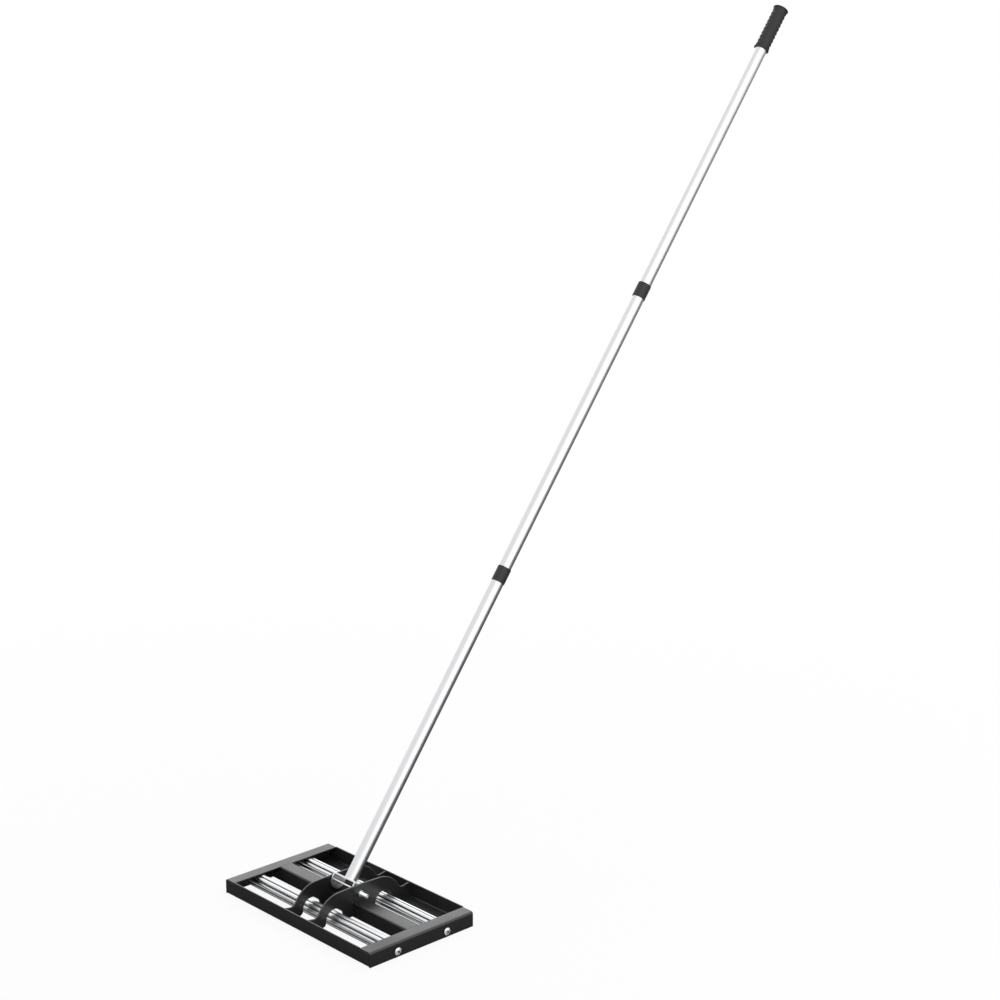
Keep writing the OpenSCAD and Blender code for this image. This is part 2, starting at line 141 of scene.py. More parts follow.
# Finishes: the two tones of each, the range of its roughness, and the roughness that marks add
PAINT_TONES = ((0.0165, 0.0165, 0.0170), (0.023, 0.023, 0.0235))
PAINT_ROUGHNESS = (0.28, 0.33)
PAINT_MARK_DULLING = 0.12
PAINT_PEEL_DEPTH = 0.02 * MM
# Painted highlight on the rounded edges of the arch plates: paler paint tones
EDGE_HIGHLIGHT_TONES = ((0.07, 0.07, 0.072), (0.11, 0.11, 0.112))
EDGE_HIGHLIGHT_ROUGHNESS = (0.28, 0.34)
ROLLER_TONES = ((0.76, 0.775, 0.79), (0.83, 0.84, 0.85))
# Painted shade in the roller grooves: the dark tone that the grooves fall to
ROLLER_GROOVE_SHADE_TONE = (0.08, 0.08, 0.085)
ROLLER_ROUGHNESS = (0.28, 0.31)
ROLLER_MARK_DULLING = 0.04
ZINC_TONES = ((0.72, 0.735, 0.755), (0.84, 0.845, 0.855))
ZINC_ROUGHNESS = (0.28, 0.33)
ZINC_MARK_DULLING = 0.06
SCREW_TONES = ((0.84, 0.85, 0.86), (0.92, 0.92, 0.925))
SCREW_ROUGHNESS = (0.29, 0.35)
# Painted shade on the walls of the screw recesses
RECESS_SHADE_TONES = ((0.006, 0.006, 0.007), (0.014, 0.014, 0.015))
RECESS_ROUGHNESS = (0.55, 0.70)
TUBE_TONES = ((0.69, 0.695, 0.71), (0.76, 0.765, 0.775))
TUBE_ROUGHNESS = (0.28, 0.31)
TUBE_MARK_DULLING = 0.08
TUBE_LINE_DEPTH = 0.004 * MM
PLASTIC_TONES = ((0.016, 0.016, 0.017), (0.025, 0.025, 0.026))
PLASTIC_ROUGHNESS = (0.42, 0.52)
PLASTIC_GRAIN_DEPTH = 0.03 * MM
RUBBER_TONES = ((0.018, 0.018, 0.019), (0.030, 0.030, 0.031))
RUBBER_ROUGHNESS = (0.50, 0.62)
RUBBER_GRAIN_DEPTH = 0.06 * MM

# Rounded edges of the sheet and bar pieces
FRAME_PIECES = (
    "front_angle",
    "rear_angle",
    "left_end_angle",
    "right_end_angle",
    "middle_bar",
)
ARCH_PLATES = ("left_arch_plate", "right_arch_plate")
YOKE_PIECES = ("yoke_strap", "yoke_brace")
FRAME_EDGE_ROUND = 0.45 * MM
ARCH_EDGE_ROUND = 1.0 * MM
YOKE_EDGE_ROUND = 0.4 * MM
EDGE_ROUND_STEPS = 3

# Limits from which an edge counts as sharp, and under which faces count as one plane and points as one
EDGE_ANGLE = math.radians(35)
FLAT_ANGLE = math.radians(0.5)
MERGE_GAP = 0.001 * MM

# Painted shade in the grooves of the rollers, by their distance from the roller's axis
GROOVE_SHADE_DEEP_R = 12.6 * MM
GROOVE_SHADE_EDGE_R = 14.0 * MM

# Pivot studs: metric coarse thread
THREAD_PITCH = 1.25 * MM
THREAD_DEPTH = 0.70 * MM
THREAD_STEPS = 36
SPARE_TURNS = 2
CREST_SHARE = 1 / 8
STUD_SIDES = 72
STUD_CHAMFER = 0.7 * MM
STUD_CENTRE_R = 1.3 * MM
STUD_CENTRE_TIP_SHARE = 0.1

# Cross recess of the axle screws
SCREW_PIECES = ("front_roller_screws", "rear_roller_screws")
RECESS_L = 9.8 * MM
RECESS_W = 2.2 * MM
RECESS_DEPTH = 2.2 * MM
RECESS_TIP_SHARE = 0.85

# Weld beads
BEAD_SIDES = 10
FRAME_BEAD_R = 1.7 * MM
YOKE_BEAD_R = 1.1 * MM
RIPPLE_STEP_SHARE = 0.9
RIPPLE_SHARES = ((0.25, 1.0), (0.8, 0.93), (1.0, 0.82))
BEAD_END_SHARE = 0.5
SEAM_MARGIN = 2.0 * MM
RING_RIPPLES = 64
RING_RIPPLE_DEPTH = 0.16 * MM


# Object and mesh helpers


def deselect_all():
    bpy.ops.object.select_all(action="DESELECT")


def make_active(piece):
    deselect_all()
    piece.select_set(True)
    bpy.context.view_layer.objects.active = piece


def apply_modifier(piece, modifier):
    make_active(piece)
    bpy.ops.object.modifier_apply(modifier=modifier.name)


def into_mesh(piece):
    """Puts the object's place and turn into its mesh."""
    make_active(piece)
    bpy.ops.object.transform_apply(location=True, rotation=True, scale=True)


def copy_of(piece, name):
    """A copy with its own mesh, active and alone selected."""
    make_active(piece)
    bpy.ops.object.duplicate()
    made = bpy.context.active_object
    made.name = name
    return made


def select_where(piece, kind, test):
    """In edit mode, selects only the faces, edges or vertices whose middle passes the test."""
    bpy.ops.mesh.select_mode(type=kind)
    bpy.ops.mesh.select_all(action="DESELECT")
    bpy.ops.object.mode_set(mode="OBJECT")
    mesh = piece.data
    places = {
        "FACE": lambda: [(face, face.center) for face in mesh.polygons],
        "EDGE": lambda: [
            (edge, sum((mesh.vertices[at].co for at in edge.vertices), Vector()) / 2) for edge in mesh.edges
        ],
        "VERT": lambda: [(vertex, vertex.co) for vertex in mesh.vertices],
    }
    for part, middle in places[kind]():
        part.select = test(middle)
    bpy.ops.object.mode_set(mode="EDIT")


def combine(piece, other, operation):
    """Joins, cuts or keeps the common part of two closed meshes, and deletes the second."""
    joined = piece.modifiers.new("combine", "BOOLEAN")
    joined.operation = operation
    joined.solver = "EXACT"
    joined.object = other
    apply_modifier(piece, joined)
    bpy.data.objects.remove(other)


def join_pieces(pieces, name):
    """One object of several."""
    deselect_all()
    for piece in pieces:
        piece.select_set(True)
    bpy.context.view_layer.objects.active = pieces[0]
    bpy.ops.object.join()
    pieces[0].name = name
    return pieces[0]


def finish_piece(piece, slot, body, *replaced):
    """Gives a piece its finish and its body, and hides the CAD nodes that it stands for."""
    piece.data.materials.clear()
    piece.data.materials.append(FINISHES[slot])
    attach(piece, body)
    if replaced:
        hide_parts(*replaced)


# Node helpers


def node_at(tree, kind, **settings):
    """A new node with the given properties; keys that name an input set its value."""
    made = tree.nodes.new(kind)
    for key, value in settings.items():
        if hasattr(made, key):
            setattr(made, key, value)
        else:
            made.inputs[key.replace("_", " ")].default_value = value
    return made


def shader_group(name, inputs, outputs):
    """An empty node group with float or vector inputs and float outputs."""
    tree = bpy.data.node_groups.new(name, "ShaderNodeTree")
    for label, kind, value in inputs:
        socket = tree.interface.new_socket(name=label, in_out="INPUT", socket_type=kind)
        socket.default_value = value
    for label in outputs:
        tree.interface.new_socket(name=label, in_out="OUTPUT", socket_type="NodeSocketFloat")
    return tree, tree.nodes.new("NodeGroupInput"), tree.nodes.new("NodeGroupOutput")


def make_surface_grain():
    """Fine grain of a coat or moulding, and a slow drift of its tone."""
    tree, given, out = shader_group(
        "surface_grain",
        [("Grain Scale", "NodeSocketFloat", 900.0), ("Drift Scale", "NodeSocketFloat", 40.0)],
        ["Grain", "Drift"],
    )
    place = node_at(tree, "ShaderNodeTexCoord")
    grain = node_at(tree, "ShaderNodeTexNoise", Detail=3.0, Roughness=0.55)
    drift = node_at(tree, "ShaderNodeTexNoise", Detail=4.0, Roughness=0.6)
    tree.links.new(place.outputs["Object"], grain.inputs["Vector"])
    tree.links.new(place.outputs["Object"], drift.inputs["Vector"])
    tree.links.new(given.outputs["Grain Scale"], grain.inputs["Scale"])
    tree.links.new(given.outputs["Drift Scale"], drift.inputs["Scale"])
    tree.links.new(grain.outputs["Fac"], out.inputs["Grain"])
    tree.links.new(drift.outputs["Fac"], out.inputs["Drift"])
    return tree


def make_drawn_lines():
    """Fine lines that drawing leaves along a tube, and broader bands among them."""
    tree, given, out = shader_group(
        "drawn_lines",
        [
            ("Turn", "NodeSocketVector", (0.0, 0.0, 0.0)),
            ("Line Scale", "NodeSocketVector", (2600.0, 2600.0, 6.0)),
            ("Band Scale", "NodeSocketVector", (300.0, 300.0, 1.5)),
        ],
        ["Lines", "Bands"],
    )
    place = node_at(tree, "ShaderNodeTexCoord")
    turned = node_at(tree, "ShaderNodeMapping", vector_type="TEXTURE")
    tree.links.new(place.outputs["Object"], turned.inputs["Vector"])
    tree.links.new(given.outputs["Turn"], turned.inputs["Rotation"])
    for label, scale in (("Lines", "Line Scale"), ("Bands", "Band Scale")):
        stretched = node_at(tree, "ShaderNodeVectorMath", operation="MULTIPLY")
        noise = node_at(tree, "ShaderNodeTexNoise", Scale=1.0, Detail=2.0, Roughness=0.5)
        tree.links.new(turned.outputs["Vector"], stretched.inputs[0])
        tree.links.new(given.outputs[scale], stretched.inputs[1])
        tree.links.new(stretched.outputs["Vector"], noise.inputs["Vector"])
        tree.links.new(noise.outputs["Fac"], out.inputs[label])
    return tree


def make_handling_marks():
    """Soft smears and short scuffs where hands and packing have touched a piece."""
    tree, given, out = shader_group(
        "handling_marks",
        [
            ("Smear Scale", "NodeSocketFloat", 22.0),
            ("Scuff Scale", "NodeSocketVector", (60.0, 420.0, 420.0)),
            ("Cover", "NodeSocketFloat", 0.35),
        ],
        ["Marks"],
    )
    place = node_at(tree, "ShaderNodeTexCoord")
    smear = node_at(tree, "ShaderNodeTexNoise", Detail=5.0, Roughness=0.65, Distortion=0.6)
    stretched = node_at(tree, "ShaderNodeVectorMath", operation="MULTIPLY")
    scuff = node_at(tree, "ShaderNodeTexNoise", Scale=1.0, Detail=3.0, Roughness=0.7)
    smear_cut = node_at(tree, "ShaderNodeMapRange", From_Min=0.48, From_Max=0.72)
    scuff_cut = node_at(tree, "ShaderNodeMapRange", From_Min=0.62, From_Max=0.74)
    both = node_at(tree, "ShaderNodeMath", operation="MAXIMUM")
    covered = node_at(tree, "ShaderNodeMath", operation="MULTIPLY", use_clamp=True)
    tree.links.new(place.outputs["Object"], smear.inputs["Vector"])
    tree.links.new(given.outputs["Smear Scale"], smear.inputs["Scale"])
    tree.links.new(place.outputs["Object"], stretched.inputs[0])
    tree.links.new(given.outputs["Scuff Scale"], stretched.inputs[1])
    tree.links.new(stretched.outputs["Vector"], scuff.inputs["Vector"])
    tree.links.new(smear.outputs["Fac"], smear_cut.inputs["Value"])
    tree.links.new(scuff.outputs["Fac"], scuff_cut.inputs["Value"])
    tree.links.new(smear_cut.outputs["Result"], both.inputs[0])
    tree.links.new(scuff_cut.outputs["Result"], both.inputs[1])
    tree.links.new(both.outputs["Value"], covered.inputs[0])
    tree.links.new(given.outputs["Cover"], covered.inputs[1])
    tree.links.new(covered.outputs["Value"], out.inputs["Marks"])
    return tree


surface_grain = make_surface_grain()
drawn_lines = make_drawn_lines()
handling_marks = make_handling_marks()


class Finish:
    """One procedural material: a Principled shader and short calls that feed it."""

    def __init__(self, name, **constants):
        self.material = bpy.data.materials.new(name)
        self.material.use_nodes = True
        self.tree = self.material.node_tree
        self.shader = self.tree.nodes["Principled BSDF"]
        for key, value in constants.items():
            self.shader.inputs[key.replace("_", " ")].default_value = value

    def effect(self, group, **values):
        """Places a shared effect with its own values."""
        return node_at(self.tree, "ShaderNodeGroup", node_tree=group, **values)

    def spread(self, source, low, high):
        """A value that runs from low to high as a noise runs over its usual middle range."""
        ranged = node_at(
            self.tree, "ShaderNodeMapRange", From_Min=NOISE_LOW, From_Max=NOISE_HIGH, To_Min=low, To_Max=high
        )
        self.tree.links.new(source, ranged.inputs["Value"])
        return ranged.outputs["Result"]

    def dulled(self, roughness, marks, dulling):
        """A roughness that marks raise by up to the given amount."""
        added = node_at(self.tree, "ShaderNodeMath", operation="MULTIPLY")
        total = node_at(self.tree, "ShaderNodeMath", operation="ADD")
        self.tree.links.new(marks, added.inputs[0])
        added.inputs[1].default_value = dulling
        self.tree.links.new(roughness, total.inputs[0])
        self.tree.links.new(added.outputs["Value"], total.inputs[1])
        return total.outputs["Value"]

    def two_tone(self, source, first, second):
        """A colour from a plain tone to a second one, plain or from another node."""
        mixed = node_at(self.tree, "ShaderNodeMix", data_type="RGBA")
        self.tree.links.new(source, mixed.inputs["Factor"])
        start, end = [socket for socket in mixed.inputs if socket.type == "RGBA"]
        start.default_value = (*first, 1.0)
        if isinstance(second, tuple):
            end.default_value = (*second, 1.0)
        else:
            self.tree.links.new(second, end)
        return next(socket for socket in mixed.outputs if socket.type == "RGBA")

    def feed(self, socket, source):
        """Links a value or colour to an input of the shader."""
        self.tree.links.new(source, self.shader.inputs[socket])

    def relief(self, source, depth):
        """Bump of the given depth in metres."""
        bump = node_at(self.tree, "ShaderNodeBump", Distance=depth)
        self.tree.links.new(source, bump.inputs["Height"])
        self.tree.links.new(bump.outputs["Normal"], self.shader.inputs["Normal"])


def satin_black_paint():
    """Sprayed black paint: a fine peel, a slow drift in gloss and faint handling marks."""
    finish = Finish("satin_black_paint", IOR=1.6)
    grain = finish.effect(surface_grain, Grain_Scale=750.0, Drift_Scale=28.0)
    marks = finish.effect(handling_marks, Smear_Scale=16.0, Cover=0.30)
    finish.feed("Base Color", finish.two_tone(marks.outputs["Marks"], *PAINT_TONES))
    satin = finish.spread(grain.outputs["Drift"], *PAINT_ROUGHNESS)
    finish.feed("Roughness", finish.dulled(satin, marks.outputs["Marks"], PAINT_MARK_DULLING))
    finish.relief(grain.outputs["Grain"], PAINT_PEEL_DEPTH)
    return finish.material


def edge_highlight_paint():
    """The same black paint on a cut edge, made paler as a painted highlight."""
    finish = Finish("painted_edge_highlight", IOR=1.6)
    grain = finish.effect(surface_grain, Grain_Scale=750.0, Drift_Scale=60.0)
    finish.feed("Base Color", finish.two_tone(grain.outputs["Drift"], *EDGE_HIGHLIGHT_TONES))
    finish.feed("Roughness", finish.spread(grain.outputs["Drift"], *EDGE_HIGHLIGHT_ROUGHNESS))
    return finish.material


def share_outside_groove_shade(finish):
    """One on the flutes of either roller, falling to zero in the grooves between them, where shade is
    painted.
    """
    tree = finish.tree
    place = node_at(tree, "ShaderNodeTexCoord")
    split = node_at(tree, "ShaderNodeSeparateXYZ")
    either_side = node_at(tree, "ShaderNodeMath", operation="ABSOLUTE")
    across = node_at(tree, "ShaderNodeCombineXYZ")
    from_axis = node_at(tree, "ShaderNodeVectorMath", operation="DISTANCE")
    from_axis.inputs[1].default_value = (0.0, roller_axis.y, roller_axis.z)
    share = node_at(
        tree,
        "ShaderNodeMapRange",
        interpolation_type="SMOOTHSTEP",
        From_Min=GROOVE_SHADE_DEEP_R,
        From_Max=GROOVE_SHADE_EDGE_R,
    )
    tree.links.new(place.outputs["Object"], split.inputs["Vector"])
    tree.links.new(split.outputs["Y"], either_side.inputs[0])
    tree.links.new(either_side.outputs["Value"], across.inputs["Y"])
    tree.links.new(split.outputs["Z"], across.inputs["Z"])
    tree.links.new(across.outputs["Vector"], from_axis.inputs[0])
    tree.links.new(from_axis.outputs["Value"], share.inputs["Value"])
    return share.outputs["Result"]


def bright_rollers():
    """Plated roller tube, bright on its flutes, with shade painted dark into the grooves."""
    finish = Finish("bright_roller_plate", Metallic=1.0)
    lines = finish.effect(drawn_lines, Line_Scale=(3.0, 260.0, 260.0), Band_Scale=(1.5, 120.0, 120.0))
    marks = finish.effect(handling_marks, Smear_Scale=30.0, Cover=0.35)
    bright = finish.two_tone(lines.outputs["Bands"], *ROLLER_TONES)
    # Painted shade: the base colour falls to the dark groove tone in the grooves
    finish.feed("Base Color", finish.two_tone(share_outside_groove_shade(finish), ROLLER_GROOVE_SHADE_TONE, bright))
    sheen = finish.spread(lines.outputs["Lines"], *ROLLER_ROUGHNESS)
    finish.feed("Roughness", finish.dulled(sheen, marks.outputs["Marks"], ROLLER_MARK_DULLING))
    return finish.material


def bright_zinc():
    """Bright plated steel with a cloudy tone."""
    finish = Finish("bright_zinc_plate", Metallic=1.0)
    grain = finish.effect(surface_grain, Grain_Scale=600.0, Drift_Scale=70.0)
    marks = finish.effect(handling_marks, Smear_Scale=40.0, Cover=0.30)
    finish.feed("Base Color", finish.two_tone(grain.outputs["Drift"], *ZINC_TONES))
    sheen = finish.spread(grain.outputs["Drift"], *ZINC_ROUGHNESS)
    finish.feed("Roughness", finish.dulled(sheen, marks.outputs["Marks"], ZINC_MARK_DULLING))
    return finish.material


def satin_zinc():
    """Paler, softer plating of the axle screws."""
    finish = Finish("satin_zinc_plate", Metallic=0.45)
    grain = finish.effect(surface_grain, Grain_Scale=900.0, Drift_Scale=120.0)
    finish.feed("Base Color", finish.two_tone(grain.outputs["Drift"], *SCREW_TONES))
    finish.feed("Roughness", finish.spread(grain.outputs["Grain"], *SCREW_ROUGHNESS))
    return finish.material


def recess_shade():
    """Painted shade on the walls of a screw's recess: dark, unplated and not metallic."""
    finish = Finish("painted_screw_recess_shade", Metallic=0.0)
    grain = finish.effect(surface_grain, Grain_Scale=1800.0, Drift_Scale=300.0)
    finish.feed("Base Color", finish.two_tone(grain.outputs["Drift"], *RECESS_SHADE_TONES))
    finish.feed("Roughness", finish.spread(grain.outputs["Grain"], *RECESS_ROUGHNESS))
    return finish.material


def drawn_tube():
    """Bright drawn tube with long fine lines along the handle."""
    finish = Finish("drawn_tube_steel", Metallic=1.0)
    lines = finish.effect(drawn_lines, Turn=tuple(handle_turn.to_euler()))
    marks = finish.effect(handling_marks, Smear_Scale=12.0, Cover=0.35)
    finish.feed("Base Color", finish.two_tone(lines.outputs["Bands"], *TUBE_TONES))
    sheen = finish.spread(lines.outputs["Lines"], *TUBE_ROUGHNESS)
    finish.feed("Roughness", finish.dulled(sheen, marks.outputs["Marks"], TUBE_MARK_DULLING))
    finish.relief(lines.outputs["Lines"], TUBE_LINE_DEPTH)
    return finish.material


def moulded_plastic():
    """Moulded black plastic with a fine spark grain."""
    finish = Finish("moulded_black_plastic", IOR=1.45)
    grain = finish.effect(surface_grain, Grain_Scale=2200.0, Drift_Scale=90.0)
    finish.feed("Base Color", finish.two_tone(grain.outputs["Drift"], *PLASTIC_TONES))
    finish.feed("Roughness", finish.spread(grain.outputs["Drift"], *PLASTIC_ROUGHNESS))
    finish.relief(grain.outputs["Grain"], PLASTIC_GRAIN_DEPTH)
    return finish.material


def grip_rubber():
    """Soft black rubber with a pebbled skin."""
    finish = Finish("grip_rubber", IOR=1.45)
    grain = finish.effect(surface_grain, Grain_Scale=1500.0, Drift_Scale=60.0)
    marks = finish.effect(handling_marks, Smear_Scale=45.0, Cover=0.45)
    finish.feed("Base Color", finish.two_tone(marks.outputs["Marks"], *RUBBER_TONES))
    finish.feed("Roughness", finish.spread(grain.outputs["Drift"], *RUBBER_ROUGHNESS))
    finish.relief(grain.outputs["Grain"], RUBBER_GRAIN_DEPTH)
    return finish.material


FINISHES = {
    "black_paint": satin_black_paint(),
    "roller_chrome": bright_rollers(),
    "bright_plate": bright_zinc(),
    "tube_steel": drawn_tube(),
    "black_plastic": moulded_plastic(),
    "grip_rubber": grip_rubber(),
}
# Painted highlight for the rounded edges of the arch plates
EDGE_HIGHLIGHT_PAINT = edge_highlight_paint()
SCREW_FINISH = satin_zinc()
# Painted shade for the walls of the screw recesses
RECESS_SHADE_FINISH = recess_shade()


def finish_cad_nodes():
    """Gives every CAD node the finish of its slot in the record."""
    for row in frame["record"]["subparts"]:
        node = frame["nodes"][row["node"]]
        for slot in node.material_slots:
            slot.material = FINISHES[row["material_slot"]]


# Rounded copies of the sheet and bar pieces


def merged_copy(node, name):
    """A copy of a CAD node as one closed mesh of plain faces, active."""
    piece = copy_of(node, name)
    del piece["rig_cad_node"]
    bpy.ops.mesh.customdata_custom_splitnormals_clear()
    bpy.ops.object.mode_set(mode="EDIT")
    bpy.ops.mesh.select_all(action="SELECT")
    bpy.ops.mesh.remove_doubles(threshold=MERGE_GAP)
    bpy.ops.mesh.dissolve_limited(angle_limit=FLAT_ANGLE)
    bpy.ops.object.mode_set(mode="OBJECT")
    return piece


def rounded_copy(node_name, edge_round, slot, edge_highlight_finish=None):
    """A copy of a CAD piece, shown in its place, with its sharp edges rounded.

    The rounded edges get a painted highlight finish of their own where one is given.
    """
    node = frame["nodes"][node_name]
    piece = merged_copy(node, node_name + "_rounded")
    bpy.ops.object.shade_smooth()
    finish_piece(piece, slot, body_of(node)[0], node_name)
    rounding = piece.modifiers.new("edge_round", "BEVEL")
    rounding.width = edge_round
    rounding.segments = EDGE_ROUND_STEPS
    rounding.limit_method = "ANGLE"
    rounding.angle_limit = EDGE_ANGLE
    rounding.use_clamp_overlap = False
    rounding.harden_normals = True
    if edge_highlight_finish:
        piece.data.materials.append(edge_highlight_finish)
        rounding.material = piece.data.materials.find(edge_highlight_finish.name)
    apply_modifier(piece, rounding)


# Threaded pivot studs


def plain_stud(start, end, radius):
    """A round stud along X with chamfered ends and a centre hole in each."""
    deselect_all()
    bpy.ops.mesh.primitive_cylinder_add(
        vertices=STUD_SIDES,
        radius=radius,
        depth=end - start,
        location=((start + end) / 2, pivot.y, pivot.z),
        rotation=(0, RIGHT_ANGLE, 0),
    )
    stud = bpy.context.active_object
    into_mesh(stud)
    bpy.ops.object.mode_set(mode="EDIT")
    rim = radius * math.cos(math.pi / STUD_SIDES) - MERGE_GAP
    for side, face_x in ((-1, start), (1, end)):
        select_where(
            stud,
            "EDGE",
            lambda at: abs(at.x - face_x) < MERGE_GAP and math.hypot(at.y - pivot.y, at.z - pivot.z) > rim,
        )
        bpy.ops.mesh.bevel(offset=STUD_CHAMFER, segments=1)
        select_where(stud, "FACE", lambda at: abs(at.x - face_x) < MERGE_GAP)
        bpy.ops.mesh.inset(thickness=radius - STUD_CHAMFER - STUD_CENTRE_R)
        bpy.ops.mesh.extrude_region_move(TRANSFORM_OT_translate={"value": (-side * STUD_CENTRE_R, 0, 0)})
        bpy.ops.transform.resize(
            value=(1, STUD_CENTRE_TIP_SHARE, STUD_CENTRE_TIP_SHARE),
            center_override=(face_x - side * STUD_CENTRE_R, pivot.y, pivot.z),
        )
    bpy.ops.object.mode_set(mode="OBJECT")
    return stud


def thread_body(start, end, radius):
    """A closed screw thread along X between two places."""
    turns = math.ceil((end - start) / THREAD_PITCH) + SPARE_TURNS
    deselect_all()
    bpy.ops.mesh.primitive_plane_add(size=THREAD_PITCH, location=(start - THREAD_PITCH, pivot.y, pivot.z))
    thread = bpy.context.active_object
    bpy.ops.object.mode_set(mode="EDIT")
    select_where(thread, "VERT", lambda at: at.y > 0)
    bpy.ops.mesh.delete(type="VERT")
    bpy.ops.mesh.select_all(action="SELECT")
    bpy.ops.mesh.subdivide(number_cuts=1)
    root_r = radius - THREAD_DEPTH
    bpy.ops.transform.translate(value=(0, THREAD_PITCH / 2, root_r))
    select_where(thread, "VERT", lambda at: abs(at.x) < MERGE_GAP)
    bpy.ops.transform.translate(value=(0, 0, THREAD_DEPTH * (1 + CREST_SHARE)))
    bpy.ops.object.mode_set(mode="OBJECT")
    winding = thread.modifiers.new("winding", "SCREW")
    winding.axis = "X"
    winding.screw_offset = THREAD_PITCH
    winding.iterations = turns
    winding.steps = THREAD_STEPS
    winding.render_steps = THREAD_STEPS
    winding.use_merge_vertices = True
    winding.merge_threshold = MERGE_GAP
    apply_modifier(thread, winding)
    into_mesh(thread)
    bpy.ops.object.mode_set(mode="EDIT")
    for cut_x, side in ((start, 1), (end, -1)):
        bpy.ops.mesh.select_all(action="SELECT")
        bpy.ops.mesh.bisect(plane_co=(cut_x, 0, 0), plane_no=(side, 0, 0), use_fill=True, clear_inner=True)
    bpy.ops.mesh.select_all(action="SELECT")
    bpy.ops.mesh.remove_doubles(threshold=MERGE_GAP)
    bpy.ops.mesh.normals_make_consistent(inside=False)
    bpy.ops.object.mode_set(mode="OBJECT")
    return thread


def make_threaded_studs():
    """Both pivot studs: the right one modelled, the left one a copy turned half round."""
    low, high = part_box("pivot_studs")
    leg_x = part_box("yoke_brace")[1].x
    thread_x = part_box("right_arch_plate")[1].x
    radius = (high.z - low.z) / 2
    right_stud = plain_stud(leg_x, high.x, radius)
    thread = thread_body(thread_x, high.x + THREAD_PITCH, radius)
    deselect_all()
    bpy.ops.mesh.primitive_cylinder_add(
        vertices=STUD_SIDES,
        radius=radius + THREAD_DEPTH,
        depth=thread_x - leg_x + 2 * THREAD_DEPTH,
        location=((leg_x + thread_x) / 2, pivot.y, pivot.z),
        rotation=(0, RIGHT_ANGLE, 0),
    )
    shank = bpy.context.active_object
    into_mesh(shank)
    combine(thread, shank, "UNION")
    combine(right_stud, thread, "INTERSECT")
    left_stud = copy_of(right_stud, "left_stud")
    left_stud.rotation_euler = (0, 0, 2 * RIGHT_ANGLE)
    into_mesh(left_stud)
    studs = join_pieces([right_stud, left_stud], "threaded_pivot_studs")
    make_active(studs)
    bpy.ops.object.shade_smooth_by_angle(angle=EDGE_ANGLE)
    finish_piece(studs, "bright_plate", "handle", "pivot_studs")


# Axle screws with a deep cross recess


def cross_cutter(face_x, side, middle_y, middle_z):
    """A tapered cross along X that opens at a screw's face."""
    blades = []
    for turn in (RIGHT_ANGLE / 2, -RIGHT_ANGLE / 2):
        deselect_all()
        bpy.ops.mesh.primitive_cube_add(size=1, location=(face_x, middle_y, middle_z), rotation=(turn, 0, 0))
        blade = bpy.context.active_object
        blade.scale = (2 * RECESS_DEPTH, RECESS_L, RECESS_W)
        bpy.ops.object.mode_set(mode="EDIT")
        select_where(blade, "FACE", lambda at: at.x * side < -MERGE_GAP)
        bpy.ops.transform.resize(value=(1, RECESS_TIP_SHARE, RECESS_TIP_SHARE))
        bpy.ops.object.mode_set(mode="OBJECT")
        into_mesh(blade)
        blades.append(blade)
    combine(blades[0], blades[1], "UNION")
    return blades[0]


def recessed_screws(node_name):
    """A copy of a roller's axle screws with the recess cut deep and shade painted dark on its walls."""
    node = frame["nodes"][node_name]
    low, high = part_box(node_name)
    middle_y, middle_z = (low.y + high.y) / 2, (low.z + high.z) / 2
    screws = merged_copy(node, node_name + "_recessed")
    screws.data.materials.clear()
    screws.data.materials.append(SCREW_FINISH)
    screws.data.materials.append(RECESS_SHADE_FINISH)
    for face_x, side in ((low.x, -1), (high.x, 1)):
        cutter = cross_cutter(face_x, side, middle_y, middle_z)
        cutter.data.materials.append(SCREW_FINISH)
        cutter.data.materials.append(RECESS_SHADE_FINISH)
        # The cutter's faces leave the painted recess shade on the recess walls
        for face in cutter.data.polygons:
            face.material_index = cutter.data.materials.find(RECESS_SHADE_FINISH.name)
        combine(screws, cutter, "DIFFERENCE")
    make_active(screws)
    bpy.ops.object.shade_smooth_by_angle(angle=EDGE_ANGLE)
    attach(screws, body_of(node)[0])
    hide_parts(node_name)


# Weld beads


def make_ripple(radius):
    """One open ripple of a weld bead along Z."""
    step = radius * RIPPLE_STEP_SHARE
    first = RIPPLE_SHARES[-1][1]
    deselect_all()
    bpy.ops.mesh.primitive_circle_add(vertices=BEAD_SIDES, radius=radius * first)
    ripple = bpy.context.active_object
    bpy.ops.object.mode_set(mode="EDIT")
    height, width = 0.0, first
    for along, across in RIPPLE_SHARES:
        rise = along * step - height
        bpy.ops.mesh.extrude_region_move(TRANSFORM_OT_translate={"value": (0, 0, rise)})
        height += rise
        bpy.ops.transform.resize(value=(across / width, across / width, 1), center_override=(0, 0, height))
        width = across
    bpy.ops.object.mode_set(mode="OBJECT")
    return ripple


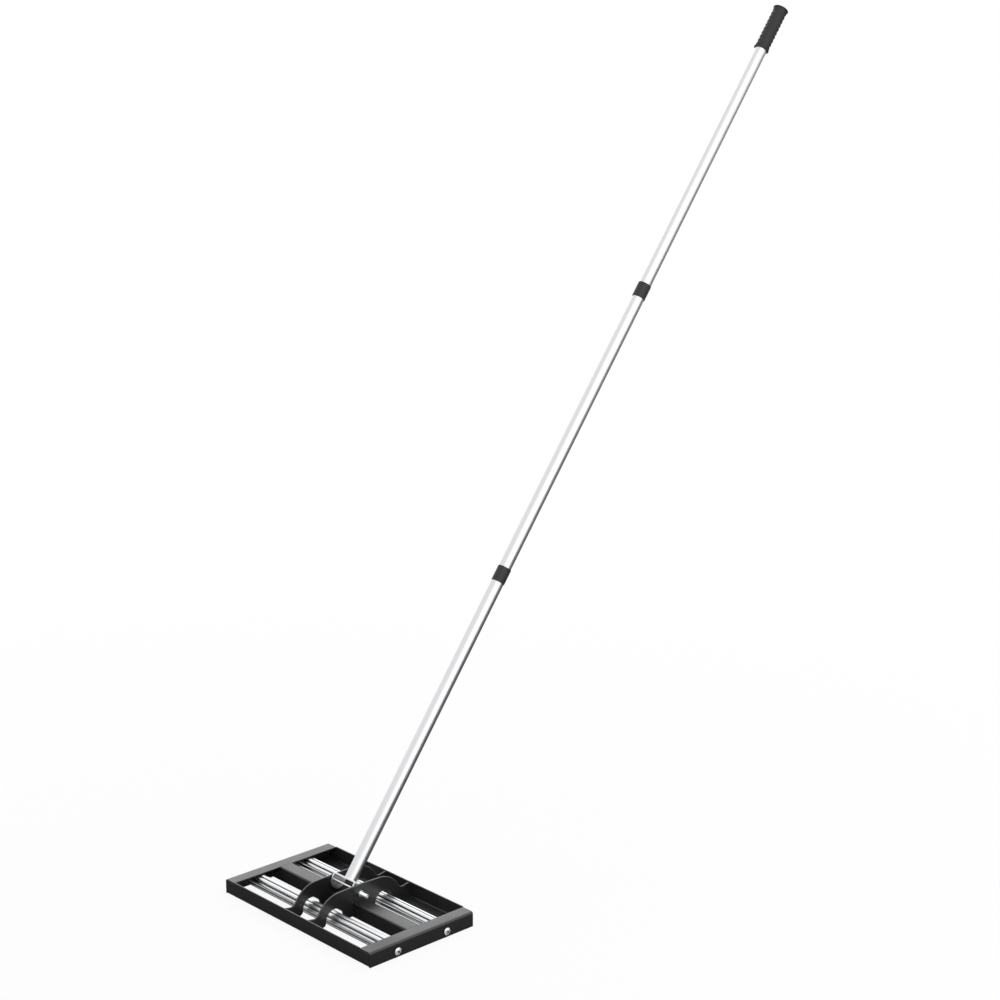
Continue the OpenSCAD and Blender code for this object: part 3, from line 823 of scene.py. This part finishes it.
def weld_bead(ripple, start, end):
    """A closed weld bead from one place to another, of copies of one ripple."""
    start, end = Vector(start), Vector(end)
    step = max(vertex.co.z for vertex in ripple.data.vertices)
    count = round((end - start).length / step)
    bead = copy_of(ripple, "bead")
    row = bead.modifiers.new("ripples", "ARRAY")
    row.count = count
    row.use_relative_offset = False
    row.use_constant_offset = True
    row.constant_offset_displace = (0, 0, step)
    row.use_merge_vertices = True
    row.merge_threshold = MERGE_GAP
    apply_modifier(bead, row)
    bpy.ops.object.mode_set(mode="EDIT")
    for height in (0.0, count * step):
        select_where(bead, "VERT", lambda at: abs(at.z - height) < MERGE_GAP)
        bpy.ops.transform.resize(value=(BEAD_END_SHARE, BEAD_END_SHARE, 1), center_override=(0, 0, height))
    bpy.ops.mesh.select_all(action="SELECT")
    bpy.ops.mesh.fill_holes(sides=BEAD_SIDES)
    bpy.ops.mesh.select_all(action="SELECT")
    bpy.ops.mesh.normals_make_consistent(inside=False)
    bpy.ops.object.mode_set(mode="OBJECT")
    along_seam = (end - start).to_track_quat("Z", "Y").to_matrix().to_4x4()
    bead.matrix_world = Matrix.Translation(start) @ along_seam
    into_mesh(bead)
    return bead


def frame_seams():
    """Start and end of each weld in the head: plates on the bar and angles, and the frame's inner corners."""
    bar_low, bar_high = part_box("middle_bar")
    front_low, front_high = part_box("front_angle")
    plate_low, plate_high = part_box("right_arch_plate")
    seam_low = plate_low.z + 2 * SEAM_MARGIN
    seam_high = bar_high.z - 2 * SEAM_MARGIN
    seams = []
    for plate in ARCH_PLATES:
        low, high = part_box(plate)
        face_x = low.x
        seams.append(((face_x, bar_low.y, bar_high.z), (face_x, bar_high.y, bar_high.z)))
        for side, plate_y in ((-1, low.y), (1, high.y)):
            bar_y = side * bar_high.y
            flange_y = side * abs(front_high.y)
            seams.append(((face_x, bar_y, low.z + SEAM_MARGIN), (face_x, bar_y, bar_high.z)))
            seams.append(((face_x, plate_y, seam_low), (face_x, plate_y, seam_high)))
            seams.append(((face_x, flange_y, low.z), (face_x, plate_y - side * 2 * SEAM_MARGIN, low.z)))
    for end_x in (front_low.x, front_high.x):
        for corner_y in (plate_low.y, plate_high.y):
            seams.append(((end_x, corner_y, seam_low), (end_x, corner_y, seam_high)))
        for bar_y in (bar_low.y, bar_high.y):
            seams.append(((end_x, bar_y, SEAM_MARGIN), (end_x, bar_y, seam_high)))
    return seams


def make_frame_welds():
    """All the weld beads of the head, as one painted piece."""
    ripple = make_ripple(FRAME_BEAD_R)
    beads = [weld_bead(ripple, *seam) for seam in frame_seams()]
    bpy.data.objects.remove(ripple)
    welds = join_pieces(beads, "frame_weld_beads")
    make_active(welds)
    bpy.ops.object.shade_smooth()
    finish_piece(welds, "black_paint", "head")


def tube_ring():
    """A rippled bead round the foot of the lower tube, where it stands on the yoke."""
    tube_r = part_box("lower_tube")[1].x
    strap = frame["nodes"]["yoke_strap"].data.vertices
    strap_top = max((vertex.co - pivot).dot(handle_axis) for vertex in strap)
    deselect_all()
    bpy.ops.mesh.primitive_torus_add(
        major_segments=2 * RING_RIPPLES,
        minor_segments=BEAD_SIDES,
        major_radius=tube_r,
        minor_radius=YOKE_BEAD_R,
    )
    ring = bpy.context.active_object
    bpy.ops.object.mode_set(mode="EDIT")
    select_where(
        ring,
        "VERT",
        lambda at: round(math.atan2(at.y, at.x) / math.pi * RING_RIPPLES) % 2 == 0,
    )
    bpy.ops.transform.shrink_fatten(value=-RING_RIPPLE_DEPTH)
    bpy.ops.object.mode_set(mode="OBJECT")
    ring.matrix_world = on_handle @ Matrix.Translation((0, 0, strap_top))
    into_mesh(ring)
    return ring


def make_yoke_welds():
    """Beads that hold the brace between the legs, and the ring round the tube."""
    brace = frame["nodes"]["yoke_brace"].data.vertices
    on_yoke = [on_handle.inverted() @ vertex.co for vertex in brace]
    brace_u = min(place.z for place in on_yoke)
    brace_v = max(place.y for place in on_yoke) - 2 * SEAM_MARGIN
    leg_x = max(place.x for place in on_yoke)
    ripple = make_ripple(YOKE_BEAD_R)
    beads = []
    for x in (-leg_x, leg_x):
        start = on_handle @ Vector((x, -brace_v, brace_u))
        end = on_handle @ Vector((x, brace_v, brace_u))
        beads.append(weld_bead(ripple, start, end))
    bpy.data.objects.remove(ripple)
    welds = join_pieces([tube_ring(), *beads], "yoke_weld_beads")
    make_active(welds)
    bpy.ops.object.shade_smooth()
    finish_piece(welds, "bright_plate", "handle")


# Studio


def make_camera():
    """The camera, looking down at the rake from the front right."""
    data = bpy.data.cameras.new("camera")
    data.lens = CAMERA_LENS_MM
    data.sensor_width = SENSOR_MM
    camera = bpy.data.objects.new("camera", data)
    bpy.context.scene.collection.objects.link(camera)
    level = math.cos(CAMERA_ELEVATION)
    looking = Vector((
        -math.sin(CAMERA_AZIMUTH) * level,
        math.cos(CAMERA_AZIMUTH) * level,
        -math.sin(CAMERA_ELEVATION),
    ))
    camera.location = CAMERA_PLACE
    camera.rotation_euler = looking.to_track_quat("-Z", "Y").to_euler()
    bpy.context.scene.camera = camera


def any_ray(tree, *kinds):
    """One for a ray of any of the given kinds, and zero for the rest."""
    path = node_at(tree, "ShaderNodeLightPath")
    found = path.outputs[kinds[0]]
    for kind in kinds[1:]:
        either = node_at(tree, "ShaderNodeMath", operation="MAXIMUM")
        tree.links.new(found, either.inputs[0])
        tree.links.new(path.outputs[kind], either.inputs[1])
        found = either.outputs["Value"]
    return found


def by_distance(tree, near_r, far_r, near_value, far_value):
    """A value that changes with the distance from the middle of the head."""
    place = node_at(tree, "ShaderNodeTexCoord")
    away = node_at(tree, "ShaderNodeVectorMath", operation="LENGTH")
    ranged = node_at(
        tree, "ShaderNodeMapRange", From_Min=near_r, From_Max=far_r, To_Min=near_value, To_Max=far_value
    )
    tree.links.new(place.outputs["Object"], away.inputs[0])
    tree.links.new(away.outputs["Value"], ranged.inputs["Value"])
    return ranged.outputs["Result"]


def mixed_shader(tree, share, first, second):
    """A mix of two shaders by the share of the second."""
    mixed = node_at(tree, "ShaderNodeMixShader")
    tree.links.new(share, mixed.inputs["Fac"])
    tree.links.new(first, mixed.inputs[1])
    tree.links.new(second, mixed.inputs[2])
    return mixed.outputs["Shader"]


def make_world():
    """Even light, white to the eye and in gloss and dimmer on the pieces."""
    world = bpy.data.worlds.new("studio")
    bpy.context.scene.world = world
    world.use_nodes = True
    tree = world.node_tree
    background = tree.nodes["Background"]
    level = node_at(tree, "ShaderNodeMapRange", To_Min=AMBIENT_LEVEL, To_Max=1.0)
    seen = any_ray(tree, "Is Camera Ray", "Is Glossy Ray", "Is Transmission Ray")
    tree.links.new(seen, level.inputs["Value"])
    background.inputs["Color"].default_value = WHITE
    tree.links.new(level.outputs["Result"], background.inputs["Strength"])


def bare_material(name):
    """A new material without nodes."""
    material = bpy.data.materials.new(name)
    material.use_nodes = True
    material.node_tree.nodes.clear()
    return material


def pale_floor():
    """A floor that the white of the studio shows through, with the soft shadow on it, and white in gloss."""
    material = bare_material("pale_floor")
    tree = material.node_tree
    pale = node_at(tree, "ShaderNodeBsdfDiffuse", Color=FLOOR_TONE)
    white = node_at(tree, "ShaderNodeEmission", Color=WHITE, Strength=1.0)
    clear = node_at(tree, "ShaderNodeBsdfTransparent")
    to_eye = node_at(tree, "ShaderNodeMath", operation="MULTIPLY")
    out = node_at(tree, "ShaderNodeOutputMaterial")
    in_gloss = any_ray(tree, "Is Glossy Ray", "Is Transmission Ray")
    mirrored = mixed_shader(tree, in_gloss, pale.outputs["BSDF"], white.outputs["Emission"])
    clear_share = by_distance(tree, SHADOW_NEAR_R, SHADOW_FAR_R, FLOOR_CLEAR_SHARE, 1.0)
    tree.links.new(any_ray(tree, "Is Camera Ray"), to_eye.inputs[0])
    tree.links.new(clear_share, to_eye.inputs[1])
    seen = mixed_shader(tree, to_eye.outputs["Value"], mirrored, clear.outputs["BSDF"])
    tree.links.new(seen, out.inputs["Surface"])
    return material


def make_floor():
    """A wide round floor under the rollers."""
    deselect_all()
    bpy.ops.mesh.primitive_circle_add(
        vertices=FLOOR_SIDES, radius=FLOOR_RADIUS, fill_type="NGON", location=(0, 0, cad_low.z)
    )
    floor = bpy.context.active_object
    floor.name = "floor"
    floor.data.materials.append(pale_floor())


def card_sheet(low_x, high_x, low_y, high_y):
    """A level rectangle just over the floor."""
    deselect_all()
    middle = ((low_x + high_x) / 2, (low_y + high_y) / 2, cad_low.z + CARD_LIFT)
    bpy.ops.mesh.primitive_plane_add(size=1, location=middle)
    sheet = bpy.context.active_object
    sheet.scale = (high_x - low_x, high_y - low_y, 1)
    into_mesh(sheet)
    return sheet


def rear_card_sheet(left_x, right_x, near_y, bend_y):
    """The sheet behind the head, which widens to its far edge from a bend on."""
    sheet = card_sheet(left_x, right_x, near_y, CARD_REAR_Y)
    bpy.ops.object.mode_set(mode="EDIT")
    bpy.ops.mesh.select_all(action="SELECT")
    bpy.ops.mesh.bisect(plane_co=(0, bend_y, 0), plane_no=(0, 1, 0))
    select_where(sheet, "VERT", lambda at: at.y > bend_y + CARD_MARGIN)
    middle_x = (left_x + right_x) / 2
    bpy.ops.transform.resize(
        value=(CARD_REAR_W / (right_x - left_x), 1, 1), center_override=(middle_x, CARD_REAR_Y, 0)
    )
    bpy.ops.transform.translate(value=(CARD_REAR_X - middle_x, 0, 0))
    bpy.ops.object.mode_set(mode="OBJECT")
    return sheet


def painted_gloss_shade():
    """Painted shade seen only in gloss: dark near the head and paler far from it."""
    material = bare_material("dark_card")
    tree = material.node_tree
    dark = node_at(tree, "ShaderNodeBsdfDiffuse")
    out = node_at(tree, "ShaderNodeOutputMaterial")
    tone = by_distance(tree, CARD_NEAR_R, CARD_FAR_R, CARD_NEAR_SHADE_TONE, CARD_FAR_SHADE_TONE)
    tree.links.new(tone, dark.inputs["Color"])
    tree.links.new(dark.outputs["BSDF"], out.inputs["Surface"])
    return material


def make_dark_card():
    """Dark card on the floor that only gloss shows, painted shade in reflections, left out inside the head in
    front of each roller.
    """
    head_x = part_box("right_end_angle")[1].x
    head_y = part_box("rear_angle")[1].y
    bar_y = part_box("middle_bar")[1].y
    left_x, right_x = -head_x - CARD_MARGIN, head_x + CARD_RIGHT_MARGIN
    rear_y = head_y + CARD_MARGIN
    sheets = [
        rear_card_sheet(left_x, right_x, head_y, rear_y),
        card_sheet(left_x, right_x, -rear_y, -head_y),
        card_sheet(left_x, -head_x, -head_y, head_y),
        card_sheet(head_x, right_x, -head_y, head_y),
        card_sheet(-head_x, head_x, -roller_axis.y - FRONT_SHADE_Y, bar_y),
        card_sheet(-head_x, head_x, roller_axis.y - REAR_SHADE_Y, head_y),
    ]
    card = join_pieces(sheets, "dark_card")
    card.data.materials.append(painted_gloss_shade())
    card.visible_camera = False
    card.visible_diffuse = False
    card.visible_shadow = False
    card.visible_transmission = False


def make_softbox(name, place, size, level, target):
    """A square lamp that faces the target and looks as bright as its level says."""
    data = bpy.data.lights.new(name, "AREA")
    data.shape = "SQUARE"
    data.size = size
    data.energy = level * math.pi * size * size
    lamp = bpy.data.objects.new(name, data)
    bpy.context.scene.collection.objects.link(lamp)
    lamp.location = place
    lamp.rotation_euler = (Vector(target) - Vector(place)).to_track_quat("-Z", "Y").to_euler()
    lamp.visible_camera = False


def make_studio():
    """Camera, light, floor and card, and colours shown as they are."""
    make_camera()
    make_world()
    make_floor()
    make_dark_card()
    for name, softbox in SOFTBOXES.items():
        make_softbox(name, **softbox, target=pivot)
    bpy.context.scene.view_settings.view_transform = "Standard"


finish_cad_nodes()
for frame_piece in FRAME_PIECES:
    rounded_copy(frame_piece, FRAME_EDGE_ROUND, "black_paint")
# The arch plates' rounded edges get the painted edge highlight
for arch_plate in ARCH_PLATES:
    rounded_copy(arch_plate, ARCH_EDGE_ROUND, "black_paint", EDGE_HIGHLIGHT_PAINT)
for yoke_piece in YOKE_PIECES:
    rounded_copy(yoke_piece, YOKE_EDGE_ROUND, "bright_plate")
for screws in SCREW_PIECES:
    recessed_screws(screws)
make_threaded_studs()
make_frame_welds()
make_yoke_welds()
make_studio()
